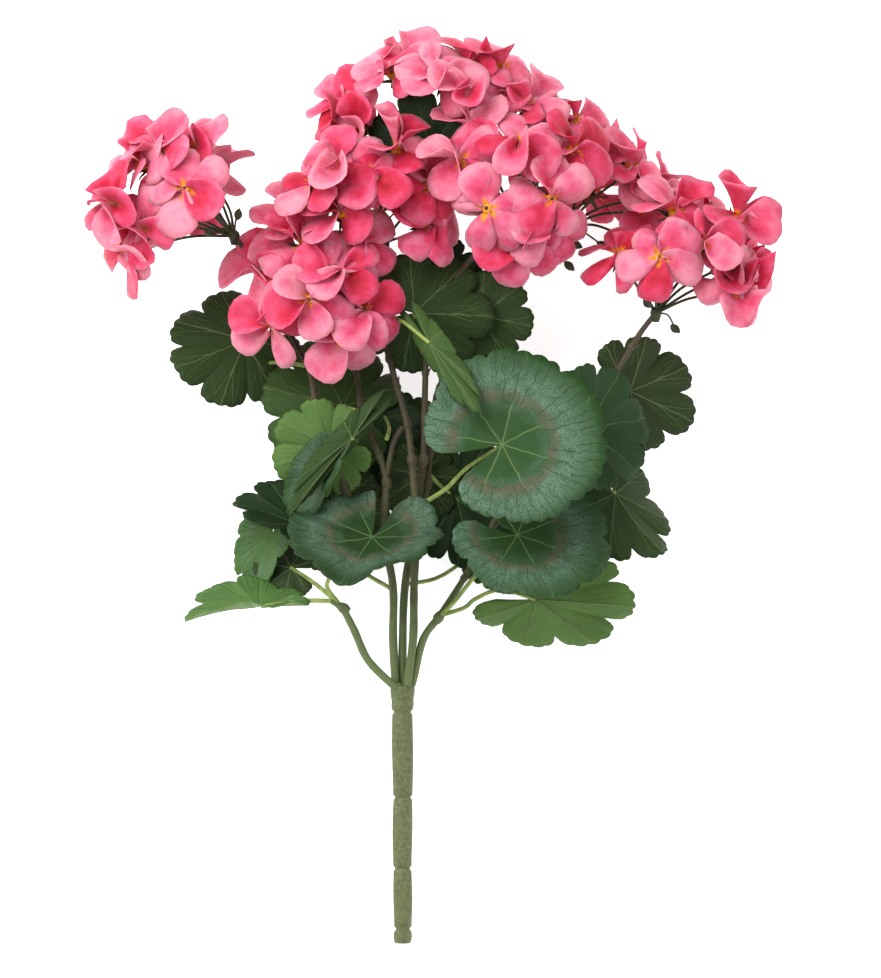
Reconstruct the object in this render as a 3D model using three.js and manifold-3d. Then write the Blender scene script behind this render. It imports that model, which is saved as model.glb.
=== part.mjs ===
// A bunch of artificial geraniums, laid down on its back: a moulded handle, eight wired stems,
// seven heads of pink florets and thirty-two leaves.
// Sizes are in millimetres. The bunch is drawn upright, with x to its right, y up the stems and
// z out of its front, and then tipped on to its back, so that +Z is up and the flowers are at +Y.
import * as THREE from 'three';
import { mergeVertices } from 'three/addons/utils/BufferGeometryUtils.js';
import Module from 'manifold-3d';

const wasm = await Module();
wasm.setup();

// Driving dimensions
const HANDLE_LENGTH = 113;
const HANDLE_RADIUS = 4.6;
const HANDLE_END_RADIUS = 3.7;
const NOTCH_PLACES = [0.055, 0.29, 0.565, 0.895];
const NOTCH_DEPTH = 0.6;
const NOTCH_HALF_WIDTH = 2;
const NOTCH_LIP = 0.2;
const COLLAR_RADIUS = 5.6;
const COLLAR_HEIGHT = 4;
const ROOT_CIRCLE_RADIUS = 3.1;
const ROOT_DEPTH = 9;
const CROWN_HEIGHT = 287;
const CROWN_WIDTH = 305;
const CROWN_DEPTH = 150;
const STEM_RADIUS = 1.7;
const SHOOT_RADIUS = 1.3;
const KNOB_RADIUS = 2.5;
const HUB_RADIUS = 3.2;
const PEDICEL_RADIUS = 0.75;
const BUD_RADIUS = 2.1;
const CALYX_LENGTH = 6.5;
const CALYX_RADIUS = 2.6;
const FLORET_RADIUS = 21;
const FLORET_CUP = 8;
const PETAL_THICKNESS = 0.9;
const PETALS = 5;
const PETAL_NOTCH = 0.72;
const FLORET_TURN = 1.3;
const LEAF_RADIUS = 44;
const LEAF_EDGE_ANGLE = 158;
const LEAF_TIP_SHARE = 0.15;
const LEAF_CUP = 5;
const LEAF_RIPPLE = 2.5;
const LEAF_RIPPLES = 4;
const LEAF_THICKNESS = 1;
const LEAF_RINGS = 2;
const PETIOLE_RADIUS = 0.9;
const CLEARANCE = 0.3;
const SLIVER = 0.03;
const STEPS_PER_PLACE = 1.3;

// How far the finished bunch is tipped for its back to lie on the surface
const LYING_PITCH = THREE.MathUtils.degToRad(12.6);
const LYING_ROLL = THREE.MathUtils.degToRad(2.77);

// The crown's places are written for these sizes and stretch with the driving dimensions.
const DRAWN_CROWN = new THREE.Vector3(305, 287, 150);
const DRAWN_FLORET_RADIUS = 21;

const PETAL_PINK = '#ef5f8a';
const LEAF_GREEN = '#3f6b35';
const STEM_GREEN = '#5f6b3f';
const HANDLE_GREEN = '#71804f';

// Stems, each a list of places measured from the fork at the top of the handle. The lower run is
// thick, the upper run is thin, and a knob sits where they meet.
const STEMS = [
  {
    name: 'stem_left_shoot',
    root: 126,
    lower: [[-4, 0, 3.5], [-15, 11, 5], [-21, 24, 6], [-26, 34, 7]],
    upper: [[-26, 34, 7], [-31, 37, 7]],
  },
  {
    name: 'stem_of_head_7',
    root: 342,
    lower: [[4.6, 2, -1], [9, 20, 0], [16, 30, 2]],
    upper: [[16, 30, 2], [27, 47, 2], [38, 67, 0], [51, 90, -4], [69, 112, -6], [91, 134, -4],
      [104, 154, -2], [111, 163, 0]],
  },
  {
    name: 'stem_of_head_3',
    root: 198,
    lower: [[-4.2, 20, -2], [-4.2, 43, -3], [-8, 66, -4], [-7, 89, -5]],
    upper: [[-7, 89, -5], [-10, 100, -6], [-18, 120, -8], [-20, 134, -10], [-25, 151, -16],
      [-30, 166, -25]],
    fork: [[-7, 92, -5], [-4, 106, -4], [0, 113, -2]],
  },
  {
    name: 'stem_of_head_2',
    root: 54,
    lower: [[4.6, 20, 2], [5, 43, 1], [6, 71, 0], [4, 99, 0]],
    upper: [[4, 99, 0], [2, 114, -1], [-2, 129, -3], [-9, 155, -8], [-13, 173, -12],
      [-15, 187, -12]],
  },
  {
    name: 'stem_of_head_4',
    root: 270,
    lower: [[0, 20, -4], [1, 43, -5], [5, 68, -6], [9, 99, -7]],
    upper: [[9, 99, -7], [10, 137, -8], [11, 177, -10], [9, 185, -12], [11, 212, -18],
      [14, 234, -20]],
  },
  {
    name: 'stem_of_head_1',
    lower: [[-9, 58, -4], [-18, 70, -3], [-25, 85, -2], [-29, 102, 0]],
    upper: [[-29, 102, 0], [-32, 112, 0], [-38, 124, -2], [-41, 138, -6], [-49, 153, -12],
      [-62, 177, -10], [-69, 190, -7], [-74, 197, -5]],
  },
  {
    name: 'stem_of_head_6',
    lower: [[5, 58, -7], [9, 79, -11], [11, 89, -12]],
    upper: [[11, 89, -12], [12, 101, -13], [16, 131, -16], [30, 145, -19], [41, 180, -25],
      [58, 193, -28], [72, 202, -30]],
  },
  {
    name: 'stem_of_head_5',
    upper: [[11, 148, -8], [19, 173, -8], [34, 191, -10], [49, 206, -12]],
  },
];

// Flower heads. Florets and buds are measured from the hub where their stalks meet, and each
// floret faces away from it.
const HEADS = [
  {
    hub: [-74, 197, -5],
    florets: [[-19, 18, 34], [-44, -7, 14], [-48, 12, 20], [-38, 30, 10], [-15, 36, 12],
      [-8, 26, -8], [-34, 14, -22], [-16, 20, -32], [-28, 32, 26], [-34, 4, 27]],
    buds: [[2, 9, 6], [-10, 1, 8]],
  },
  {
    hub: [-15, 187, -12],
    florets: [[-22, 31, 26], [-11, 38, 30], [12, 45, 24], [2, 34, 34], [25, 30, 24],
      [24, 13, 16], [-14, 30, -14], [12, 34, -18], [-11, 18, 28]],
    buds: [[13, 22, 5]],
  },
  {
    hub: [-30, 166, -25],
    florets: [[-13, 25, 36], [10, 27, 34], [4, 14, 42], [13, -2, 38], [4, -18, 38],
      [-26, -8, 32], [-33, 15, 22], [-10, 2, 44], [-6, 10, -28], [-16, 38, 22]],
    buds: [[22, 26, 12], [22, -7, 8]],
  },
  {
    hub: [14, 234, -20],
    florets: [[4, 32, 24], [-18, 33, 12], [-36, 20, 4], [-12, 41, 2], [28, 36, 6],
      [16, 43, -4], [14, 24, 24], [36, 26, 8], [-32, 10, 12]],
    buds: [[-4, 10, -12]],
  },
  {
    hub: [49, 206, -12],
    florets: [[-12, 1, 42], [15, 5, 40], [2, 28, 36], [-18, 36, 20], [7, 46, 12],
      [26, 40, 6], [24, 26, 26], [14, -14, 34], [2, -20, 26], [10, 24, -26], [-22, 22, 30]],
    buds: [[27, -13, 10], [24, -22, 6]],
  },
  {
    hub: [72, 202, -30],
    florets: [[27, 24, 16], [32, 8, 12], [13, 32, 8], [38, 16, -6], [12, 16, -24],
      [30, -2, -14]],
    buds: [[16, -8, 8]],
  },
  {
    hub: [111, 163, 0],
    florets: [[0, 22, 34], [18, 28, 26], [33, 9, 20], [34, 40, 8], [7, 42, 12],
      [30, 22, 2], [16, 45, -4], [40, 17, 2], [-16, 24, 10], [16, 26, -26]],
    buds: [[8, -7, 6], [-4, 4, 5]],
  },
];

// Leaves. at is where the stalk meets the blade, size is a share of the largest leaf, face is the
// way the upper side looks, aim is the midrib's angle across the front of the bunch, wide narrows
// a folded blade, and stalk starts on a stem.
const LEAVES = [
  { at: [-67, 152, -26], size: 0.84, face: [-0.2, -0.3, -0.93], aim: 205, wide: 0.85,
    stalk: [[-62, 174, -12], [-65, 162, -20]] },
  { at: [-71, 140, -36], size: 0.45, face: [0.9, -0.2, 0.4], aim: 245, wide: 0.5,
    stalk: [[-42, 140, -9], [-56, 142, -26]] },
  { at: [-26, 122, -17], size: 0.85, face: [0, -0.3, -0.95], aim: 165, wide: 1,
    stalk: [[-18, 119, -9], [-22, 121, -13]] },
  { at: [-32, 104, 5], size: 0.6, face: [0.1, 0.2, -0.97], aim: 200, wide: 1,
    stalk: [[-29, 103, 1], [-31, 104, 4]] },
  { at: [-34, 94, 12], size: 0.62, face: [-0.55, 0.3, 0.78], aim: 238, wide: 0.6,
    stalk: [[-28, 98, 1], [-31, 96, 8]] },
  { at: [-13, 118, 15], size: 1.15, face: [-0.5, 0.1, -0.7], aim: 229, wide: 0.34,
    stalk: [[1, 108, 2], [-7, 114, 8]] },
  { at: [-45, 70, -4], size: 0.72, face: [0.3, 0.8, 0.5], aim: 158, wide: 0.5,
    stalk: [[-19, 71, -3], [-32, 70, -4]] },
  { at: [-58, 66, -14], size: 0.66, face: [-0.5, 0.2, 0.84], aim: 243, wide: 0.55,
    stalk: [[-20, 74, -4], [-40, 72, -13]] },
  { at: [-19, 60, 27], size: 0.9, face: [-0.05, 0.7, 0.71], aim: 238, wide: 1,
    stalk: [[-28, 36, 7], [-33, 44, 10], [-27, 52, 18]] },
  { at: [-62, 35, 6], size: 0.78, face: [0, 0.95, 0.3], aim: 184, wide: 0.6,
    stalk: [[-31, 37, 7], [-45, 37, 6]] },
  { at: [-49, 51, -10], size: 0.42, face: [0.2, -0.5, -0.8], aim: 170, wide: 1,
    stalk: [[-27, 35, 6], [-38, 44, -3]] },
  { at: [42, 105, 36], size: 1.04, face: [0.05, 0.35, 0.94], aim: 27, wide: 1,
    stalk: [[8, 79, -7], [19, 86, 10], [28, 95, 26]] },
  { at: [50, 66, 20], size: 0.95, face: [0.1, 0.62, 0.78], aim: -20, wide: 1,
    stalk: [[17, 31, 3], [22, 36, 6], [30, 46, 10], [41, 60, 15]] },
  { at: [58, 38, 12], size: 1.0, face: [0, 0.35, -0.93], aim: -4, wide: 0.68,
    stalk: [[18, 31, 3], [27, 34, 5], [32, 38, 7], [43, 42, 10]] },
  { at: [80, 112, 12], size: 0.75, face: [0.45, 0.1, 0.88], aim: 10, wide: 1,
    stalk: [[60, 101, -5], [68, 106, 3]] },
  { at: [97, 129, -12], size: 0.76, face: [-0.3, 0.2, -0.93], aim: 335, wide: 0.9,
    stalk: [[90, 133, -4], [93, 131, -9]] },
  { at: [93, 84, -2], size: 0.8, face: [-0.4, -0.3, -0.87], aim: 302, wide: 0.75,
    stalk: [[55, 95, -5], [72, 96, -6], [86, 88, -4]] },
  { at: [5, 163, -1], size: 0.82, face: [-0.2, 0.1, -0.96], aim: -2, wide: 0.9,
    stalk: [[10, 152, -8], [6, 158, -5]] },
  { at: [34, 162, -13], size: 0.55, face: [0, 0.1, -1], aim: -10, wide: 1,
    stalk: [[30, 147, -19], [33, 155, -16]] },
  { at: [1, 155, 9], size: 1.13, face: [0.4, -0.216, -0.7], aim: 309, wide: 0.4,
    stalk: [[-9, 156, -8], [-5, 156, 1]] },
  { at: [12, 234, -6], size: 0.66, face: [-0.1, 0, 0.99], aim: 150, wide: 1,
    stalk: [[13, 226, -19], [12, 231, -12]] },
  { at: [-24, 84, -20], size: 0.7, face: [0.4, 0.3, -0.85], aim: 298, wide: 0.5,
    stalk: [[-26, 88, -2], [-25, 87, -12]] },
  { at: [8, 92, -18], size: 0.5, face: [-0.1, 0, -0.99], aim: 262, wide: 1,
    stalk: [[9, 96, -8], [8, 95, -13]] },
  { at: [24, 81, -25], size: 0.75, face: [0, 0.1, 0.99], aim: -30, wide: 1,
    stalk: [[12, 92, -13], [17, 87, -20]] },
  { at: [-8, 118, -24], size: 0.42, face: [0, 0, 1], aim: 270, wide: 1,
    stalk: [[-7, 108, -5], [-6, 113, -15]] },
  { at: [14, 178, -20], size: 0.5, face: [0, 0, 1], aim: 20, wide: 1,
    stalk: [[11, 172, -11], [12, 175, -15]] },
  { at: [-30, 72, -26], size: 0.62, face: [-0.15, -0.2, -0.97], aim: 170, wide: 1,
    stalk: [[-5, 42, -4], [-20, 52, -17]] },
  { at: [42, 66, -25], size: 0.72, face: [0.15, -0.2, -0.97], aim: 10, wide: 1,
    stalk: [[2, 44, -6], [18, 48, -20]] },
  { at: [-2, 100, -31], size: 0.7, face: [0, -0.2, -0.98], aim: 100, wide: 1,
    stalk: [[6, 70, -7], [2, 86, -22]] },
  { at: [64, 104, -33], size: 0.66, face: [0.1, -0.1, -0.98], aim: -30, wide: 1,
    stalk: [[53, 93, -5], [59, 99, -20]] },
  { at: [-28, 116, -44], size: 0.56, face: [-0.1, -0.1, -0.98], aim: 110, wide: 1,
    stalk: [[-34, 118, -1], [-32, 117, -20]] },
  { at: [24, 156, -37], size: 0.6, face: [0, -0.1, -1], aim: 60, wide: 1,
    stalk: [[18, 134, -17], [20, 146, -28]] },
];

const UP = new THREE.Vector3(0, 1, 0);

// A place in the crown, from its distances to the fork as drawn.
function crownPlace([x, y, z]) {
  return new THREE.Vector3(
    (x * CROWN_WIDTH) / DRAWN_CROWN.x,
    HANDLE_LENGTH + (y * CROWN_HEIGHT) / DRAWN_CROWN.y,
    (z * CROWN_DEPTH) / DRAWN_CROWN.z,
  );
}

// Where a stem leaves its socket in the collar, at an angle round the handle.
function rootPlaces(angle) {
  const turn = THREE.MathUtils.degToRad(angle);
  const x = ROOT_CIRCLE_RADIUS * Math.cos(turn);
  const z = ROOT_CIRCLE_RADIUS * Math.sin(turn);
  return [
    new THREE.Vector3(x, HANDLE_LENGTH - ROOT_DEPTH, z),
    new THREE.Vector3(x, HANDLE_LENGTH - 1, z),
  ];
}

// A closed geometry as a solid, with its faces out.
function solidOf(geometry) {
  const bare = new THREE.BufferGeometry();
  bare.setAttribute('position', geometry.getAttribute('position'));
  bare.setIndex(geometry.index);
  const merged = mergeVertices(bare, 1e-4);
  const corners = merged.index.array;
  const triangles = [];
  for (let i = 0; i < corners.length; i += 3) {
    const [a, b, c] = corners.slice(i, i + 3);
    if (a !== b && b !== c && c !== a) triangles.push(a, b, c);
  }
  const make = () => new wasm.Manifold(new wasm.Mesh({
    numProp: 3,
    vertProperties: new Float32Array(merged.attributes.position.array),
    triVerts: new Uint32Array(triangles),
  }));
  const made = make();
  if (made.volume() > 0) return made;
  triangles.reverse();
  return make();
}

// A solid as a geometry to draw.
function geometryOf(solid) {
  const mesh = solid.getMesh();
  const geometry = new THREE.BufferGeometry();
  geometry.setAttribute('position', new THREE.BufferAttribute(mesh.vertProperties, 3));
  geometry.setIndex(new THREE.BufferAttribute(mesh.triVerts, 1));
  const flat = geometry.toNonIndexed();
  flat.computeVertexNormals();
  return flat;
}

function joined(solids) {
  return solids.reduce((whole, next) => whole.add(next));
}

// The largest body of a solid, without the crumbs and slivers that a cut leaves.
function largestBody(solid) {
  const bodies = solid.decompose();
  return bodies.reduce((best, next) => (next.volume() > best.volume() ? next : best));
}

// A round tube along a smooth line through its places.
function tube(places, radius, sides, steps) {
  const line = places.length > 2
    ? new THREE.CatmullRomCurve3(places)
    : new THREE.LineCurve3(...places);
  const section = new THREE.Shape();
  for (let i = 0; i < sides; i += 1) {
    const turn = (2 * Math.PI * i) / sides;
    const x = radius * Math.cos(turn);
    const y = radius * Math.sin(turn);
    if (i === 0) section.moveTo(x, y);
    else section.lineTo(x, y);
  }
  section.closePath();
  return solidOf(new THREE.ExtrudeGeometry(section, { steps, extrudePath: line }));
}

function ball(centre, radius, stretch = 1, along = UP) {
  const geometry = new THREE.SphereGeometry(radius, 5, 3);
  geometry.scale(1, stretch, 1);
  geometry.applyQuaternion(new THREE.Quaternion().setFromUnitVectors(UP, along));
  geometry.translate(centre.x, centre.y, centre.z);
  return solidOf(geometry);
}

// A closed sheet over a polar grid. surface gives the place at a share of the way round and out,
// and closed says whether its last spoke meets its first.
function sheet(surface, spokes, rings, closed, thickness) {
  const centre = surface(0.5, 0);
  const places = [[], []];
  const step = 1e-3;
  for (let i = 0; i <= spokes; i += 1) {
    for (let j = 0; j <= rings; j += 1) {
      const round = i / spokes;
      const out = Math.max(j / rings, step);
      const place = surface(round, out);
      const across = surface(round + step, out).sub(surface(round - step, out));
      const outward = surface(round, out + step).sub(surface(round, out - step));
      const normal = across.cross(outward).normalize().multiplyScalar(thickness / 2);
      places[0].push(place.clone().add(normal));
      places[1].push(place.clone().sub(normal));
    }
  }
  const middle = surface.normal.clone().multiplyScalar(thickness / 2);
  const top = centre.clone().add(middle);
  const bottom = centre.clone().sub(middle);
  const corners = [];
  const at = (side, i, j) => {
    if (j === 0) return side === 0 ? top : bottom;
    return places[side][(closed ? i % spokes : i) * (rings + 1) + j];
  };
  const face = (...points) => {
    for (let k = 2; k < points.length; k += 1) {
      corners.push(points[0], points[k - 1], points[k]);
    }
  };
  for (let i = 0; i < spokes; i += 1) {
    face(at(0, i, 0), at(0, i + 1, 1), at(0, i, 1));
    face(at(1, i, 0), at(1, i, 1), at(1, i + 1, 1));
    for (let j = 1; j < rings; j += 1) {
      face(at(0, i, j), at(0, i + 1, j), at(0, i + 1, j + 1), at(0, i, j + 1));
      face(at(1, i, j), at(1, i, j + 1), at(1, i + 1, j + 1), at(1, i + 1, j));
    }
    face(at(0, i, rings), at(0, i + 1, rings), at(1, i + 1, rings), at(1, i, rings));
  }
  for (let j = 0; j < rings && !closed; j += 1) {
    face(at(0, 0, j), at(0, 0, j + 1), at(1, 0, j + 1), at(1, 0, j));
    face(at(0, spokes, j + 1), at(0, spokes, j), at(1, spokes, j), at(1, spokes, j + 1));
  }
  return solidOf(new THREE.BufferGeometry().setFromPoints(corners));
}

function handle() {
  const profile = [new THREE.Vector2(0, 0), new THREE.Vector2(HANDLE_END_RADIUS, 0)];
  NOTCH_PLACES.forEach((share, i) => {
    const radius = THREE.MathUtils.lerp(HANDLE_END_RADIUS, HANDLE_RADIUS, i / NOTCH_PLACES.length);
    const height = share * HANDLE_LENGTH;
    profile.push(new THREE.Vector2(radius, height - NOTCH_HALF_WIDTH));
    profile.push(new THREE.Vector2(radius - NOTCH_DEPTH, height));
    profile.push(new THREE.Vector2(radius + NOTCH_LIP, height + NOTCH_HALF_WIDTH));
  });
  profile.push(new THREE.Vector2(COLLAR_RADIUS, HANDLE_LENGTH - COLLAR_HEIGHT));
  profile.push(new THREE.Vector2(COLLAR_RADIUS, HANDLE_LENGTH));
  profile.push(new THREE.Vector2(0, HANDLE_LENGTH));
  return () => solidOf(new THREE.LatheGeometry(profile, 8));
}

function stem({ root, lower, upper, fork }) {
  const high = upper.map(crownPlace);
  const low = lower ? lower.map(crownPlace) : [];
  if (root !== undefined) low.unshift(...rootPlaces(root));
  return (grow) => {
    const solids = [tube(high, SHOOT_RADIUS + grow, 5, Math.ceil(STEPS_PER_PLACE * high.length))];
    if (low.length > 0) {
      solids.push(tube(low, STEM_RADIUS + grow, 6, Math.ceil(STEPS_PER_PLACE * low.length)));
      solids.push(ball(high[0], KNOB_RADIUS + grow));
    }
    if (fork) solids.push(tube(fork.map(crownPlace), SHOOT_RADIUS + grow, 5, 2));
    return joined(solids);
  };
}

// Each floret's centre and the way that it faces
function floretPlaces({ hub, florets }) {
  const middle = crownPlace(hub);
  const spread = FLORET_RADIUS / DRAWN_FLORET_RADIUS;
  return florets.map((offset) => {
    const out = new THREE.Vector3(...offset).multiplyScalar(spread);
    return { centre: middle.clone().add(out), face: out.normalize() };
  });
}

// A turned stalk from the hub, widening into the calyx that holds the floret at its end
function pedicel(hub, { face, centre }, grow) {
  const length = centre.distanceTo(hub);
  const profile = [
    new THREE.Vector2(0, HUB_RADIUS / 2),
    new THREE.Vector2(PEDICEL_RADIUS + grow, HUB_RADIUS / 2),
    new THREE.Vector2(PEDICEL_RADIUS + grow, length - CALYX_LENGTH),
    new THREE.Vector2(CALYX_RADIUS + grow, length),
    new THREE.Vector2(0, length),
  ];
  const geometry = new THREE.LatheGeometry(profile, 4);
  geometry.applyQuaternion(new THREE.Quaternion().setFromUnitVectors(UP, face));
  geometry.translate(hub.x, hub.y, hub.z);
  return solidOf(geometry);
}

function bud(hub, offset, grow) {
  const tip = hub.clone().add(new THREE.Vector3(...offset));
  const along = tip.clone().sub(hub).normalize();
  const start = hub.clone().addScaledVector(along, HUB_RADIUS / 2);
  const stalk = tube([start, tip], PEDICEL_RADIUS + grow, 4, 1);
  return stalk.add(ball(tip, BUD_RADIUS + grow, 1.5, along));
}

// A floret: a cup of five joined petals, open along the way that it faces
function floret({ centre, face }, spin, grow) {
  const turn = new THREE.Quaternion().setFromUnitVectors(new THREE.Vector3(0, 0, 1), face);
  const surface = (round, out) => {
    const angle = 2 * Math.PI * round + spin;
    const wave = (1 + Math.cos(2 * Math.PI * PETALS * round)) / 2;
    const reach = (FLORET_RADIUS + grow) * (PETAL_NOTCH + (1 - PETAL_NOTCH) * wave) * out;
    const height = FLORET_CUP * out * out;
    return new THREE.Vector3(reach * Math.cos(angle), reach * Math.sin(angle), height)
      .applyQuaternion(turn)
      .add(centre);
  };
  surface.normal = face.clone().negate();
  return sheet(surface, 2 * PETALS, 1, true, PETAL_THICKNESS + 2 * grow);
}

function flowerHead(head) {
  const hub = crownPlace(head.hub);
  const places = floretPlaces(head);
  return (grow) => joined([
    ball(hub, HUB_RADIUS + grow),
    ...places.map((place) => pedicel(hub, place, grow)),
    ...head.buds.map((offset) => bud(hub, offset, grow)),
    ...places.map((place, i) => floret(place, FLORET_TURN * i, grow)),
  ]);
}

function petiole({ at, stalk }) {
  const route = [...stalk, at].map(crownPlace);
  return (grow) => tube(route, PETIOLE_RADIUS + grow, 4, 3);
}

function blade({ at, size, face, aim, wide }) {
  const centre = crownPlace(at);
  const normal = new THREE.Vector3(...face).normalize();
  const turn = THREE.MathUtils.degToRad(aim);
  const slope = -(normal.x * Math.cos(turn) + normal.y * Math.sin(turn)) / normal.z;
  const midrib = new THREE.Vector3(Math.cos(turn), Math.sin(turn), slope).normalize();
  const side = midrib.clone().cross(normal);
  const surfaceWith = (grow) => {
    const reach = LEAF_RADIUS * size + grow;
    const edge = THREE.MathUtils.degToRad(LEAF_EDGE_ANGLE);
    const surface = (round, out) => {
      const angle = THREE.MathUtils.lerp(-edge, edge, round);
      const share = 1 - LEAF_TIP_SHARE + LEAF_TIP_SHARE * Math.cos(angle);
      const length = reach * out * share;
      const lift = (LEAF_CUP + LEAF_RIPPLE * Math.sin(LEAF_RIPPLES * angle)) * size * out * out;
      return centre.clone()
        .addScaledVector(midrib, length * Math.cos(angle))
        .addScaledVector(side, length * Math.sin(angle) * wide)
        .addScaledVector(normal, lift);
    };
    surface.normal = normal.clone();
    return surface;
  };
  return (grow) => {
    const surface = surfaceWith(grow);
    const solids = [sheet(surface, 12, LEAF_RINGS, false, LEAF_THICKNESS + 2 * grow)];
    // Growing the blade moves its rim and its faces, so the notch's two edges are grown apart.
    for (let ring = 0; ring < LEAF_RINGS && grow > 0; ring += 1) {
      [0, 1].forEach((round) => {
        const ends = [surface(round, ring / LEAF_RINGS), surface(round, (ring + 1) / LEAF_RINGS)];
        solids.push(tube(ends, LEAF_THICKNESS / 2 + grow, 6, 1));
      });
    }
    return joined(solids);
  };
}

const number = (i) => String(i + 1).padStart(2, '0');

// Every sub-part. core is what holds it in the bunch, and blade is the leaf that grows from it.
const PARTS = [
  ...STEMS.map((row) => ({ name: row.name, core: stem(row), colour: STEM_GREEN })),
  { name: 'handle', core: handle(), colour: HANDLE_GREEN },
  ...HEADS.map((row, i) => (
    { name: `flower_head_${i + 1}`, core: flowerHead(row), colour: PETAL_PINK }
  )),
  ...LEAVES.map((row, i) => (
    { name: `leaf_${number(i)}`, core: petiole(row), blade: blade(row), colour: LEAF_GREEN }
  )),
];

function boxesMeet(a, b) {
  return [0, 1, 2].every((i) => a.min[i] < b.max[i] && b.min[i] < a.max[i]);
}

// Room that is taken, as solids grown by the clearance, each with the name of its sub-part
const taken = [];

function take(name, solid) {
  taken.push({ name, solid, box: solid.boundingBox() });
}

// What is left of a solid outside the room that other sub-parts have taken
function cutBack(name, solid) {
  const box = solid.boundingBox();
  const near = taken.filter((other) => other.name !== name && boxesMeet(other.box, box));
  return near.reduce((rest, other) => rest.subtract(other.solid), solid);
}

// The cores take their room first, so that no blade cuts through a stalk that holds another.
const cores = PARTS.map(({ name, core }) => {
  const cut = cutBack(name, core(0));
  take(name, core(CLEARANCE));
  return cut;
});

const bunch = new THREE.Group();
PARTS.forEach(({ name, blade: makeBlade, colour }, i) => {
  let cut = cores[i];
  if (makeBlade) {
    cut = cut.add(cutBack(name, makeBlade(0)));
    take(name, makeBlade(CLEARANCE));
  }
  const kept = largestBody(largestBody(cut).simplify(SLIVER));
  const material = new THREE.MeshStandardMaterial({ color: colour, roughness: 0.7, metalness: 0 });
  const mesh = new THREE.Mesh(geometryOf(kept), material);
  mesh.name = name;
  bunch.add(mesh);
});

// Tip the upright bunch on to its back, and stand its box on the surface, centred.
const laid = new THREE.Group();
bunch.rotation.set(LYING_PITCH, LYING_ROLL, 0);
laid.add(bunch);
const box = new THREE.Box3().setFromObject(laid, true);
const middle = box.getCenter(new THREE.Vector3());
bunch.position.set(-middle.x, -middle.y, -box.min.z);

export default laid;
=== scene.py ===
"""A bunch of artificial geraniums, laid down on its back.

The bunch is drawn upright in millimetres, as its maker would hold it: x to its right, y up the
stems from the cut end of the handle and z out of its front. Every piece is then laid down into
the row frame, in metres, where its handle and its back florets rest on the surface.
"""

import math
import random

import bpy
from mathutils import Matrix, Vector


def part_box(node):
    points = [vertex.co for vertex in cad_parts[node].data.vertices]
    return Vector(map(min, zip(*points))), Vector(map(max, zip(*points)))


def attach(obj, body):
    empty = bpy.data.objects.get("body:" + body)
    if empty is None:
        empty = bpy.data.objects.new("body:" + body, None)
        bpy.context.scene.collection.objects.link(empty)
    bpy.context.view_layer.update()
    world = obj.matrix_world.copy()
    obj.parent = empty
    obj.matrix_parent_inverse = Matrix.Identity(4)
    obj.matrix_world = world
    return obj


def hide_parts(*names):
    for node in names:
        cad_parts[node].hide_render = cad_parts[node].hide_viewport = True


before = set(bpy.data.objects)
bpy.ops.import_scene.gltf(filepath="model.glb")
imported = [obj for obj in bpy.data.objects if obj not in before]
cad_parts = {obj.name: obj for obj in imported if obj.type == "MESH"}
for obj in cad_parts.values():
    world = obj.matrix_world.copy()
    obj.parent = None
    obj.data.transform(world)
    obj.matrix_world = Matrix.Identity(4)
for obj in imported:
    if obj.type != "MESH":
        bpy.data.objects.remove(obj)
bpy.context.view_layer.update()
bpy.ops.object.select_all(action="DESELECT")

# ---- sizes, in millimetres

# LEAF_REACH is the angle from a leaf's midrib to its notch, and the veins share it evenly.
MM = 0.001
HANDLE_LENGTH = 113
HANDLE_RADIUS = 4.6
HANDLE_END_RADIUS = 3.7
COLLAR_RADIUS = 5.4
ROOT_CIRCLE_RADIUS = 3.1
ROOT_DEPTH = 9
STEM_RADIUS = 1.75
SHOOT_RADIUS = 1.25
HUB_RADIUS = 2.6
PEDICEL_RADIUS = 0.62
PETAL_LENGTH = 22.5
PETAL_THICKNESS = 0.3
LEAF_RADIUS = 44
LEAF_THICKNESS = 0.45
LEAF_REACH = math.radians(165)
MAIN_VEINS = 7
VEIN_SPACING = 2 * LEAF_REACH / MAIN_VEINS
LYING_PITCH = math.radians(12.6)
LYING_ROLL = math.radians(2.77)

# ---- laying the bunch down

TIPPED = Matrix.Rotation(LYING_PITCH, 3, "X") @ Matrix.Rotation(LYING_ROLL, 3, "Y")
handle_low, handle_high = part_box("handle")
end_reach = HANDLE_END_RADIUS * MM * math.cos(LYING_ROLL)
REST = Vector((
    (handle_low.x + handle_high.x) / 2,
    handle_low.y + end_reach * math.sin(LYING_PITCH),
    handle_low.z + end_reach * math.cos(LYING_PITCH),
))
LAID = Matrix.Translation(REST) @ TIPPED.to_4x4() @ Matrix.Scale(MM, 4)

# ---- where everything grows

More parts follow.
